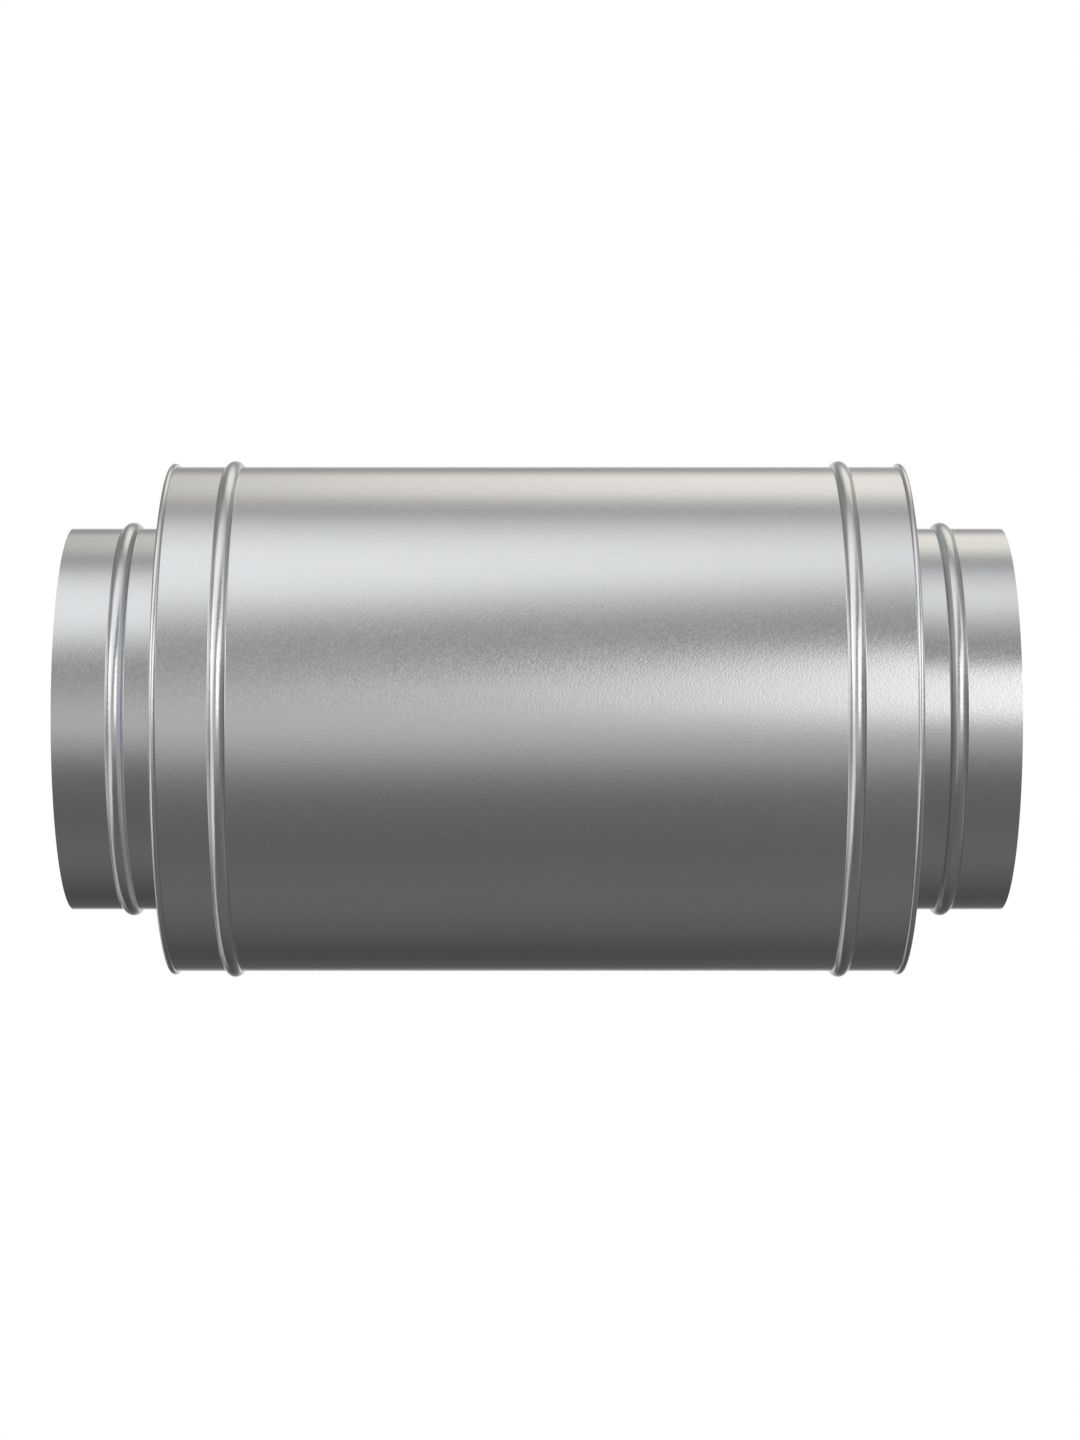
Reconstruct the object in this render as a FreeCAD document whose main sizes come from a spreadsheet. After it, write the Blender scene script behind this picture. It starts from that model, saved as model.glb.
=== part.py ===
"""Round duct sound attenuator, nominal duct size 315, casing 415 x 600 mm.

Frame: millimetres, +X along the duct's axis towards the right spigot, +Z up,
origin on the axis at mid-length (the centre of the whole part's box).

Pieces: outer casing, two end caps, two spigots, perforated inner tube, glass
tissue, mineral wool mat, two groups of four blind rivets, two mastic rings.
"""
import FreeCAD, Part
import math
import os

import Sketcher
from FreeCAD import Vector, Placement, Rotation

os.makedirs("parts", exist_ok=True)

doc = FreeCAD.newDocument("attenuator")

# --------------------------------------------------------------------------
# driving dimensions (mm, degrees, counts)
# --------------------------------------------------------------------------
DIMENSIONS = [
    # alias, value, what it is
    ("casing_radius", 207.5, "casing, outside radius of the plain wall"),
    ("casing_sheet", 0.6, "casing sheet thickness"),
    ("casing_bead_pos", 247.42, "casing bead, centre from mid-length"),
    ("casing_bead_height", 4.9, "casing bead, height over the wall"),
    ("casing_bead_arc", 6.85, "casing bead, outside radius of its crown"),
    ("bead_fillet", 1.0, "outside radius where a bead meets its wall"),
    ("flange_bend", 0.2, "casing flange, radius in the crook of the bend"),
    ("curl_pos", 296.75, "seam roll, centre from mid-length"),
    ("curl_radius_pos", 207.85, "seam roll, centre from the axis"),
    ("casing_curl", 1.83, "casing edge in the seam, outside radius of its curl"),
    ("casing_curl_tail", 0.15, "casing edge, straight end past the curl"),
    ("lap_angle", 2.2, "lap seam width, degrees round the casing"),
    ("lap_half_length", 289.0, "lap seam, its end from mid-length"),
    ("lap_turn", -135.0, "lap seam, where it lies round the casing"),
    ("cap_sheet", 0.7, "end cap sheet thickness"),
    ("cap_face_pos", 299.3, "end cap, outer face from mid-length"),
    ("cap_curl", 2.55, "seam roll, outside radius"),
    ("cap_curl_tail", 0.28, "end cap edge, straight end past the roll"),
    ("cap_neck_end", 286.0, "end cap neck, its end from mid-length"),
    ("cap_neck_radius", 156.95, "end cap neck, inside radius"),
    ("cap_neck_bend", 1.5, "end cap neck bend, radius on the wool side"),
    ("swage_radius_pos", 183.0, "end cap swage, centre from the axis"),
    ("swage_height", 2.6, "end cap swage, height over the face"),
    ("swage_arc", 8.0, "end cap swage, outside radius of its crown"),
    ("swage_fillet", 3.0, "end cap swage, outside radius at its foot"),
    ("spigot_radius", 156.9, "spigot, outside radius"),
    ("spigot_sheet", 0.6, "spigot sheet thickness"),
    ("spigot_end", 381.1, "spigot, cut end from mid-length"),
    ("spigot_root", 255.0, "spigot, inner end from mid-length"),
    ("spigot_bead_pos", 331.55, "spigot bead, centre from mid-length"),
    ("spigot_bead_height", 4.98, "spigot bead, height over the wall"),
    ("spigot_bead_arc", 7.2, "spigot bead, outside radius of its crown"),
    ("tube_inner_radius", 156.95, "perforated tube, inside radius"),
    ("tube_sheet", 0.6, "perforated tube sheet thickness"),
    ("tube_half_length", 285.0, "perforated tube, half its length"),
    ("hole_diameter", 10.0, "perforation, hole diameter"),
    ("hole_pitch", 16.0, "perforation, pitch of the staggered pattern"),
    ("hole_zone", 248.0, "perforation, half the length of its field"),
    ("hole_columns", 72, "perforation, columns of holes round the tube"),
    ("tube_lap_length", 250.0, "tube lap seam, half its length"),
    ("tissue_inner_radius", 157.65, "glass tissue, inside radius"),
    ("tissue_thickness", 0.5, "glass tissue thickness"),
    ("tissue_half_length", 262.0, "glass tissue, half its length"),
    ("tissue_flap_angle", 8.0, "glass tissue overlap, degrees round"),
    ("wool_inner_radius", 158.72, "wool mat, inside radius"),
    ("wool_outer_radius", 206.7, "wool mat, outside radius"),
    ("wool_half_length", 298.2, "wool mat, half its length"),
    ("wool_step_radius", 161.2, "wool mat, inside radius over the rivets"),
    ("wool_joint", 1.0, "wool mat, width of its butt joint"),
    ("rivet_pos", 270.0, "rivets, distance from mid-length"),
    ("rivet_count", 4, "rivets in each spigot"),
    ("rivet_hole_radius", 2.05, "rivet hole radius"),
    ("rivet_shank_radius", 2.0, "rivet shank radius"),
    ("rivet_head_radius", 4.0, "rivet head radius"),
    ("rivet_head_height", 1.1, "rivet head height"),
    ("rivet_head_seat", 156.24, "rivet head, seat from the axis"),
    ("rivet_bulb_radius", 2.9, "rivet blind head radius"),
    ("rivet_bulb_seat", 157.56, "rivet blind head, seat from the axis"),
    ("rivet_bulb_height", 3.0, "rivet blind head height"),
    ("mastic_gap", 0.02, "clearance under the mastic"),
    ("mastic_reach", 300.6, "mastic ring, its toe on the spigot from mid-length"),
]

sheet = doc.addObject("Spreadsheet::Sheet", "Dimensions")
for row, (alias, value, note) in enumerate(DIMENSIONS, start=1):
    sheet.set("A%d" % row, alias)
    sheet.set("B%d" % row, str(value))
    sheet.set("C%d" % row, note)
    sheet.setAlias("B%d" % row, alias)
doc.recompute()


def dim(alias):
    """The number in the sheet's cell of that name."""
    return float(getattr(sheet, alias))


S = "Dimensions."


def expr(text):
    """Spell each $name as a cell of the sheet."""
    return text.replace("$", S)


# --------------------------------------------------------------------------
# sketching helpers
# --------------------------------------------------------------------------
def origin_plane(body, role):
    """One of the body's own planes or axes, by its role."""
    for feature in body.Origin.OriginFeatures:
        if feature.Role == role:
            return feature
    raise RuntimeError("no " + role)


class Section:
    """A sketched section: x runs along the duct, y away from its axis."""

    def __init__(self, body, name, plane="XZ_Plane"):
        self.sketch = body.newObject("Sketcher::SketchObject", name)
        self.sketch.AttachmentSupport = [(origin_plane(body, plane), "")]
        self.sketch.MapMode = "FlatFace"
        self.count = 0
        self.bound = []

    def line(self, a, b):
        return self.sketch.addGeometry(
            Part.LineSegment(Vector(a[0], a[1], 0), Vector(b[0], b[1], 0)), False)

    def arc(self, centre, radius, start, end):
        """Counter-clockwise from start to end, in degrees."""
        circle = Part.Circle(Vector(centre[0], centre[1], 0), Vector(0, 0, 1), radius)
        return self.sketch.addGeometry(
            Part.ArcOfCircle(circle, math.radians(start), math.radians(end)), False)

    def join(self, one, one_end, two, two_end):
        self.sketch.addConstraint(
            Sketcher.Constraint("Coincident", one, one_end, two, two_end))

    def blend(self, one, one_end, two, two_end):
        self.sketch.addConstraint(
            Sketcher.Constraint("Tangent", one, one_end, two, two_end))

    def flat(self, geo):
        self.sketch.addConstraint(Sketcher.Constraint("Horizontal", geo))

    def upright(self, geo):
        self.sketch.addConstraint(Sketcher.Constraint("Vertical", geo))

    def _drive(self, constraint, text):
        index = self.sketch.addConstraint(constraint)
        self.count += 1
        name = "size_%d" % self.count
        self.sketch.renameConstraint(index, name)
        self.bound.append((name, expr(text)))

    def at_x(self, geo, end, value, text):
        self._drive(Sketcher.Constraint("DistanceX", -1, 1, geo, end, value), text)

    def at_y(self, geo, end, value, text):
        self._drive(Sketcher.Constraint("DistanceY", -1, 1, geo, end, value), text)

    def radius(self, geo, value, text):
        self._drive(Sketcher.Constraint("Radius", geo, value), text)

    def done(self):
        for name, text in self.bound:
            self.sketch.setExpression("Constraints." + name, text)
        doc.recompute()
        conflict = list(self.sketch.ConflictingConstraints)
        spare = list(self.sketch.RedundantConstraints)
        if conflict or spare or "Invalid" in self.sketch.State:
            raise RuntimeError("%s: conflicting %s, redundant %s, %s"
                               % (self.sketch.Name, conflict, spare, self.sketch.State))
        return self.sketch


def bead_points(pos, wall, crown_y, crown, foot):
    """Tangent points of a bead: crown arc about (pos, crown_y), feet of radius foot."""
    reach = math.sqrt((crown + foot) ** 2 - (wall + foot - crown_y) ** 2)
    tilt = math.degrees(math.atan2(wall + foot - crown_y, reach))
    return reach, tilt


def revolve(body, name, sketch, angle=360.0, both_ways=False):
    feature = body.newObject("PartDesign::Revolution", name)
    feature.Profile = sketch
    feature.ReferenceAxis = (sketch, ["H_Axis"])
    feature.Angle = angle
    feature.Midplane = both_ways
    sketch.Visibility = False
    return feature


def mirror(body, name, originals):
    feature = body.newObject("PartDesign::Mirrored", name)
    feature.Originals = originals
    feature.MirrorPlane = (origin_plane(body, "YZ_Plane"), [""])
    body.Tip = feature
    return feature


def new_body(label):
    body = doc.addObject("PartDesign::Body", label)
    body.Label = label
    return body


def checked_volume(body, expected, share=0.02):
    """The volume a body should have, so that a feature that did nothing shows."""
    doc.recompute()
    volume = body.Shape.Volume
    print("%-16s %12.1f mm3, expected about %12.1f" % (body.Label, volume, expected))
    if abs(volume - expected) > share * expected:
        raise RuntimeError(body.Label + " has the wrong volume")


def ring_volume(inner, outer, length):
    return math.pi * (outer ** 2 - inner ** 2) * length


# --------------------------------------------------------------------------
# the wall of a beaded sheet: the part of a section that casing and spigots share
# --------------------------------------------------------------------------
def beaded_side(section, x0, bead, x1, wall, lift, crown, foot, names):
    """One side of a sheet with one bead, from x0 to x1.

    wall is this side's radius, lift the crown's centre, crown and foot the arc
    radii on this side; names holds the matching expressions.
    Returns the five pieces of geometry.
    """
    reach, tilt = bead_points(bead, wall, lift, crown, foot)
    near = section.line((x0, wall), (bead - reach, wall))
    foot_a = section.arc((bead - reach, wall + foot), foot, 270.0, 360.0 - tilt)
    crown_arc = section.arc((bead, lift), crown, tilt, 180.0 - tilt)
    foot_b = section.arc((bead + reach, wall + foot), foot, 180.0 + tilt, 270.0)
    far = section.line((bead + reach, wall), (x1, wall))
    section.blend(near, 2, foot_a, 1)
    section.blend(foot_a, 2, crown_arc, 2)
    section.blend(crown_arc, 1, foot_b, 1)
    section.blend(foot_b, 2, far, 1)
    section.flat(near)
    section.flat(far)
    section.at_y(near, 1, wall, names["wall"])
    section.at_y(far, 2, wall, names["wall"])
    section.radius(foot_a, foot, names["foot"])
    section.radius(foot_b, foot, names["foot"])
    section.radius(crown_arc, crown, names["crown"])
    section.at_x(crown_arc, 3, bead, names["bead"])
    section.at_y(crown_arc, 3, lift, names["lift"])
    return near, foot_a, crown_arc, foot_b, far


# --------------------------------------------------------------------------
# casing
# --------------------------------------------------------------------------
def casing_side(outside, extra=0.0):
    """Sizes of the casing's outer or inner side; extra moves it out by whole sheets."""
    r, t = dim("casing_radius"), dim("casing_sheet")
    lift = r + dim("casing_bead_height") - dim("casing_bead_arc")
    lift_text = "$casing_radius + $casing_bead_height - $casing_bead_arc"
    step = (0.0 if outside else -1.0) + extra
    sign = "%+g" % step
    more = "" if step == 0 else " %s * $casing_sheet" % sign.replace("+", "+ ").replace("-", "- ")
    less = "" if step == 0 else " %s * $casing_sheet" % ("%+g" % -step).replace("+", "+ ").replace("-", "- ")
    names = {
        "wall": "$casing_radius" + more,
        "foot": "$bead_fillet" + less,
        "crown": "$casing_bead_arc" + more,
        "bead": "$casing_bead_pos",
        "lift": lift_text,
    }
    return names, (r + step * t, lift, dim("casing_bead_arc") + step * t,
                   dim("bead_fillet") - step * t)


def build_casing():
    body = new_body("casing")
    r, t = dim("casing_radius"), dim("casing_sheet")
    bead = dim("casing_bead_pos")
    cx, cy = dim("curl_pos"), dim("curl_radius_pos")
    curl, bend, tail = dim("casing_curl"), dim("flange_bend"), dim("casing_curl_tail")
    section = Section(body, "CasingSection")
    # the flange stands between the curl's two sides
    flange_in, flange_out = cx + curl - t, cx + curl
    bend_x = flange_in - bend
    names, (wall, lift, crown, foot) = casing_side(True)
    outer = beaded_side(section, 0.0, bead, bend_x, wall, lift, crown, foot, names)
    names, (wall_i, lift, crown_i, foot_i) = casing_side(False)
    inner = beaded_side(section, 0.0, bead, bend_x, wall_i, lift, crown_i, foot_i, names)
    start = section.line((0.0, wall_i), (0.0, wall))
    section.join(start, 2, outer[0], 1)
    section.join(start, 1, inner[0], 1)
    section.upright(start)
    section.at_x(start, 1, 0.0, "0")
    # crook of the bend and its outside, about one centre
    crook = section.arc((bend_x, r + bend), bend, 270.0, 360.0)
    heel = section.arc((bend_x, r + bend), bend + t, 270.0, 360.0)
    section.blend(outer[4], 2, crook, 1)
    section.blend(inner[4], 2, heel, 1)
    # flange
    face_a = section.line((flange_in, r + bend), (flange_in, cy))
    face_b = section.line((flange_out, r + bend), (flange_out, cy))
    section.blend(crook, 2, face_a, 1)
    section.blend(heel, 2, face_b, 1)
    section.upright(face_a)
    section.upright(face_b)
    section.radius(crook, bend, "$flange_bend")
    section.radius(heel, bend + t, "$flange_bend + $casing_sheet")
    # curl, half a turn back over the casing
    curl_out = section.arc((cx, cy), curl, 0.0, 180.0)
    curl_in = section.arc((cx, cy), curl - t, 0.0, 180.0)
    section.blend(face_b, 2, curl_out, 1)
    section.blend(face_a, 2, curl_in, 1)
    section.radius(curl_out, curl, "$casing_curl")
    section.radius(curl_in, curl - t, "$casing_curl - $casing_sheet")
    for arc in (curl_out, curl_in):
        section.at_x(arc, 3, cx, "$curl_pos")
        section.at_y(arc, 3, cy, "$curl_radius_pos")
    tail_a = section.line((cx - curl + t, cy), (cx - curl + t, cy - tail))
    tail_b = section.line((cx - curl, cy), (cx - curl, cy - tail))
    section.blend(curl_in, 2, tail_a, 1)
    section.blend(curl_out, 2, tail_b, 1)
    section.upright(tail_a)
    section.upright(tail_b)
    end = section.line((cx - curl + t, cy - tail), (cx - curl, cy - tail))
    section.join(tail_a, 2, end, 1)
    section.join(tail_b, 2, end, 2)
    section.flat(end)
    section.at_y(end, 1, cy - tail, "$curl_radius_pos - $casing_curl_tail")
    sketch = section.done()
    wall_feature = revolve(body, "CasingWall", sketch)
    doc.recompute()

    # lap seam: the sheet's outer edge lies on the inner one, over the beads too
    lap = Section(body, "LapSection")
    end_x = dim("lap_half_length")
    names, (w0, lift, c0, f0) = casing_side(True)
    low = beaded_side(lap, 0.0, bead, end_x, w0, lift, c0, f0, names)
    names, (w1, lift, c1, f1) = casing_side(True, extra=1.0)
    high = beaded_side(lap, 0.0, bead, end_x, w1, lift, c1, f1, names)
    start = lap.line((0.0, w0), (0.0, w1))
    stop = lap.line((end_x, w0), (end_x, w1))
    lap.join(start, 1, low[0], 1)
    lap.join(start, 2, high[0], 1)
    lap.upright(start)
    lap.at_x(start, 1, 0.0, "0")
    lap.join(stop, 1, low[4], 2)
    lap.join(stop, 2, high[4], 2)
    lap.upright(stop)
    lap.at_x(stop, 1, end_x, "$lap_half_length")
    lap_sketch = lap.done()
    strip = revolve(body, "LapStrip", lap_sketch, dim("lap_angle"), both_ways=True)
    strip.setExpression("Angle", expr("$lap_angle"))
    doc.recompute()
    mirror(body, "CasingHalves", [wall_feature, strip])
    body.Placement = Placement(Vector(0, 0, 0),
                               Rotation(Vector(1, 0, 0), dim("lap_turn")))
    body.setExpression("Placement.Rotation.Angle", expr("$lap_turn * -1 deg"))
    body.Placement.Rotation.Axis = Vector(-1, 0, 0)
    plain = ring_volume(r - t, r, 2 * dim("cap_face_pos"))
    checked_volume(body, plain * 1.035, 0.04)
    return body


# --------------------------------------------------------------------------
# end cap
# --------------------------------------------------------------------------
def cap_side(face, outside):
    """Sizes of the cap's face on one side, with the swage."""
    t = dim("cap_sheet")
    step = 0.0 if outside else -1.0
    mid = dim("swage_radius_pos")
    crown = dim("swage_arc") + step * t
    foot = dim("swage_fillet") - step * t
    lift = dim("cap_face_pos") + dim("swage_height") - dim("swage_arc")
    lift_text = "$cap_face_pos + $swage_height - $swage_arc"
    crown_text = "$swage_arc" + ("" if outside else " - $cap_sheet")
    foot_text = "$swage_fillet" + ("" if outside else " + $cap_sheet")
    face_text = "$cap_face_pos" + ("" if outside else " - $cap_sheet")
    reach = math.sqrt((crown + foot) ** 2 - (face + foot - lift) ** 2)
    tilt = math.degrees(math.atan2(face + foot - lift, reach))
    return (mid, crown, foot, lift, lift_text, crown_text, foot_text, face_text,
            reach, tilt)


def build_cap(label, turn):
    body = new_body(label)
    t = dim("cap_sheet")
    face = dim("cap_face_pos")
    neck_r, neck_end = dim("cap_neck_radius"), dim("cap_neck_end")
    bend = dim("cap_neck_bend")
    cx, cy = dim("curl_pos"), dim("curl_radius_pos")
    curl, tail = dim("cap_curl"), dim("cap_curl_tail")
    bend_x, bend_y = face - t - bend, neck_r + t + bend
    s = Section(body, "CapSection")
    sides = []
    for outside in (True, False):
        wall = face if outside else face - t
        (mid, crown, foot, lift, lift_text, crown_text, foot_text, face_text,
         reach, tilt) = cap_side(wall, outside)
        low = s.line((wall, bend_y), (wall, mid - reach))
        foot_a = s.arc((wall + foot, mid - reach), foot, 90.0 + tilt, 180.0)
        top = s.arc((lift, mid), crown, tilt - 90.0, 90.0 - tilt)
        foot_b = s.arc((wall + foot, mid + reach), foot, 180.0, 270.0 - tilt)
        high = s.line((wall, mid + reach), (wall, cy))
        s.blend(low, 2, foot_a, 2)
        s.blend(foot_a, 1, top, 1)
        s.blend(top, 2, foot_b, 2)
        s.blend(foot_b, 1, high, 1)
        s.upright(low)
        s.upright(high)
        s.at_x(low, 1, wall, face_text)
        s.radius(foot_a, foot, foot_text)
        s.radius(foot_b, foot, foot_text)
        s.radius(top, crown, crown_text)
        s.at_x(top, 3, lift, lift_text)
        s.at_y(top, 3, mid, "$swage_radius_pos")
        sides.append((low, foot_a, top, foot_b, high))
    out, inn = sides
    # neck, turned in round the spigot
    bend_out = s.arc((bend_x, bend_y), bend + t, 270.0, 360.0)
    bend_in = s.arc((bend_x, bend_y), bend, 270.0, 360.0)
    s.blend(bend_out, 2, out[0], 1)
    s.blend(bend_in, 2, inn[0], 1)
    neck_low = s.line((neck_end, neck_r), (bend_x, neck_r))
    neck_high = s.line((neck_end, neck_r + t), (bend_x, neck_r + t))
    s.blend(neck_low, 2, bend_out, 1)
    s.blend(neck_high, 2, bend_in, 1)
    s.flat(neck_low)
    s.flat(neck_high)
    s.radius(bend_out, bend + t, "$cap_neck_bend + $cap_sheet")
    s.radius(bend_in, bend, "$cap_neck_bend")
    s.at_y(neck_low, 1, neck_r, "$cap_neck_radius")
    s.at_y(neck_high, 1, neck_r + t, "$cap_neck_radius + $cap_sheet")
    neck_stop = s.line((neck_end, neck_r), (neck_end, neck_r + t))
    s.join(neck_stop, 1, neck_low, 1)
    s.join(neck_stop, 2, neck_high, 1)
    s.upright(neck_stop)
    s.at_x(neck_stop, 1, neck_end, "$cap_neck_end")
    # seam roll over the casing's curled flange
    roll_out = s.arc((cx, cy), curl, 0.0, 180.0)
    roll_in = s.arc((cx, cy), curl - t, 0.0, 180.0)
    s.blend(out[4], 2, roll_out, 1)
    s.blend(inn[4], 2, roll_in, 1)
    for arc, text in ((roll_out, "$cap_curl"), (roll_in, "$cap_curl - $cap_sheet")):
        s.at_y(arc, 3, cy, "$curl_radius_pos")
        s.radius(arc, curl if arc == roll_out else curl - t, text)
    s.at_x(out[4], 2, face, "$cap_face_pos")
    s.at_x(inn[4], 2, face - t, "$cap_face_pos - $cap_sheet")
    tail_out = s.line((cx - curl, cy), (cx - curl, cy - tail))
    tail_in = s.line((cx - curl + t, cy), (cx - curl + t, cy - tail))
    s.blend(roll_out, 2, tail_out, 1)
    s.blend(roll_in, 2, tail_in, 1)
    s.upright(tail_out)
    s.upright(tail_in)
    end = s.line((cx - curl, cy - tail), (cx - curl + t, cy - tail))
    s.join(end, 1, tail_out, 2)
    s.join(end, 2, tail_in, 2)
    s.flat(end)
    s.at_y(end, 1, cy - tail, "$curl_radius_pos - $cap_curl_tail")
    sketch = s.done()
    revolve(body, "CapPlate", sketch)
    body.Placement = Placement(Vector(0, 0, 0), Rotation(Vector(0, 0, 1), turn))
    # the sheet's length round the section, times its path round the axis
    plate = ring_volume(bend_y, cy, t)
    slope = math.radians(90.0 - tilt)
    swage = ((2 * slope * (crown + foot) - 2 * reach) * t
             * 2 * math.pi * dim("swage_radius_pos"))
    neck = ring_volume(neck_r, neck_r + t, bend_x - neck_end)
    turn_in = (math.pi / 2 * (bend + t / 2) * t
               * 2 * math.pi * (bend_y - 0.637 * (bend + t / 2)))
    roll = (math.pi * (curl - t / 2) * t * 2 * math.pi * (cy + 0.637 * (curl - t / 2))
            + ring_volume(cy - tail, cy, t))
    checked_volume(body, plate + swage + neck + turn_in + roll, 0.01)
    return body


# --------------------------------------------------------------------------
# spigot
# --------------------------------------------------------------------------
def build_spigot(label, turn):
    body = new_body(label)
    r, t = dim("spigot_radius"), dim("spigot_sheet")
    x0, x1 = dim("spigot_root"), dim("spigot_end")
    bead = dim("spigot_bead_pos")
    crown, foot = dim("spigot_bead_arc"), dim("bead_fillet")
    lift = r + dim("spigot_bead_height") - crown
    s = Section(body, "SpigotSection")
    text = {"wall": "$spigot_radius", "foot": "$bead_fillet", "crown": "$spigot_bead_arc",
            "bead": "$spigot_bead_pos",
            "lift": "$spigot_radius + $spigot_bead_height - $spigot_bead_arc"}
    outer = beaded_side(s, x0, bead, x1, r, lift, crown, foot, text)
    text = dict(text, wall="$spigot_radius - $spigot_sheet",
                foot="$bead_fillet + $spigot_sheet",
                crown="$spigot_bead_arc - $spigot_sheet")
    inner = beaded_side(s, x0, bead, x1, r - t, lift, crown - t, foot + t, text)
    start = s.line((x0, r - t), (x0, r))
    stop = s.line((x1, r - t), (x1, r))
    s.join(start, 1, inner[0], 1)
    s.join(start, 2, outer[0], 1)
    s.join(stop, 1, inner[4], 2)
    s.join(stop, 2, outer[4], 2)
    s.upright(start)
    s.upright(stop)
    s.at_x(start, 1, x0, "$spigot_root")
    s.at_x(stop, 1, x1, "$spigot_end")
    sketch = s.done()
    revolve(body, "SpigotWall", sketch)
    doc.recompute()
    before = body.Shape.Volume

    # rivet holes: one round cut through the wall, repeated round the duct's axis
    hole = Section(body, "RivetHole", "XY_Plane")
    circle = hole.sketch.addGeometry(
        Part.Circle(Vector(dim("rivet_pos"), 0, 0), Vector(0, 0, 1),
                    dim("rivet_hole_radius")), False)
    hole.at_x(circle, 3, dim("rivet_pos"), "$rivet_pos")
    hole.sketch.addConstraint(Sketcher.Constraint("PointOnObject", circle, 3, -1))
    hole.radius(circle, dim("rivet_hole_radius"), "$rivet_hole_radius")
    hole_sketch = hole.done()
    cut = body.newObject("PartDesign::Pocket", "RivetCut")
    cut.Profile = hole_sketch
    cut.Type = "Length"
    cut.Length = r + 10.0
    cut.setExpression("Length", expr("$spigot_radius + 10"))
    hole_sketch.Visibility = False
    doc.recompute()
    ring = body.newObject("PartDesign::PolarPattern", "RivetCuts")
    ring.Originals = [cut]
    ring.Axis = (sketch, ["H_Axis"])
    ring.Angle = 360.0
    ring.Occurrences = 4
    ring.setExpression("Occurrences", expr("$rivet_count"))
    body.Tip = ring
    doc.recompute()
    cut_away = before - body.Shape.Volume
    one = math.pi * dim("rivet_hole_radius") ** 2 * t
    print("%-16s rivet holes: %.2f" % (label, cut_away / one))
    if abs(cut_away / one - dim("rivet_count")) > 0.1:
        raise RuntimeError(label + ": the rivet holes are missing")
    body.Placement = Placement(Vector(0, 0, 0), Rotation(Vector(0, 0, 1), turn)).multiply(
        Placement(Vector(0, 0, 0), Rotation(Vector(1, 0, 0), 45.0)))
    checked_volume(body, ring_volume(r - t, r, x1 - x0) * 1.03, 0.03)
    return body


# --------------------------------------------------------------------------
# plain rings: tissue, wool, mastic
# --------------------------------------------------------------------------
def box_section(section, x0, x1, y0, y1, tx0, tx1, ty0, ty1):
    """A closed rectangle, its four sides bound to the expressions."""
    low = section.line((x0, y0), (x1, y0))
    right = section.line((x1, y0), (x1, y1))
    high = section.line((x1, y1), (x0, y1))
    left = section.line((x0, y1), (x0, y0))
    for one, two in ((low, right), (right, high), (high, left), (left, low)):
        section.join(one, 2, two, 1)
    section.flat(low)
    section.flat(high)
    section.upright(left)
    section.upright(right)
    section.at_x(left, 1, x0, tx0)
    section.at_x(right, 1, x1, tx1)
    section.at_y(low, 1, y0, ty0)
    section.at_y(high, 1, y1, ty1)
    return low, right, high, left


def build_tissue():
    body = new_body("fleece_liner")
    r, t, half = dim("tissue_inner_radius"), dim("tissue_thickness"), dim("tissue_half_length")
    s = Section(body, "TissueSection")
    box_section(s, -half, half, r, r + t, "-$tissue_half_length", "$tissue_half_length",
                "$tissue_inner_radius", "$tissue_inner_radius + $tissue_thickness")
    wrap = s.done()
    revolve(body, "TissueWrap", wrap)
    doc.recompute()
    f = Section(body, "FlapSection")
    box_section(f, -half, half, r + t, r + 2 * t, "-$tissue_half_length",
                "$tissue_half_length", "$tissue_inner_radius + $tissue_thickness",
                "$tissue_inner_radius + 2 * $tissue_thickness")
    flap_sketch = f.done()
    flap = revolve(body, "TissueFlap", flap_sketch, dim("tissue_flap_angle"), both_ways=True)
    flap.setExpression("Angle", expr("$tissue_flap_angle"))
    body.Placement = Placement(Vector(0, 0, 0), Rotation(Vector(1, 0, 0), 100.0))
    checked_volume(body, ring_volume(r, r + t, 2 * half) * (1 + 8.0 / 360.0), 0.01)
    return body


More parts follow.
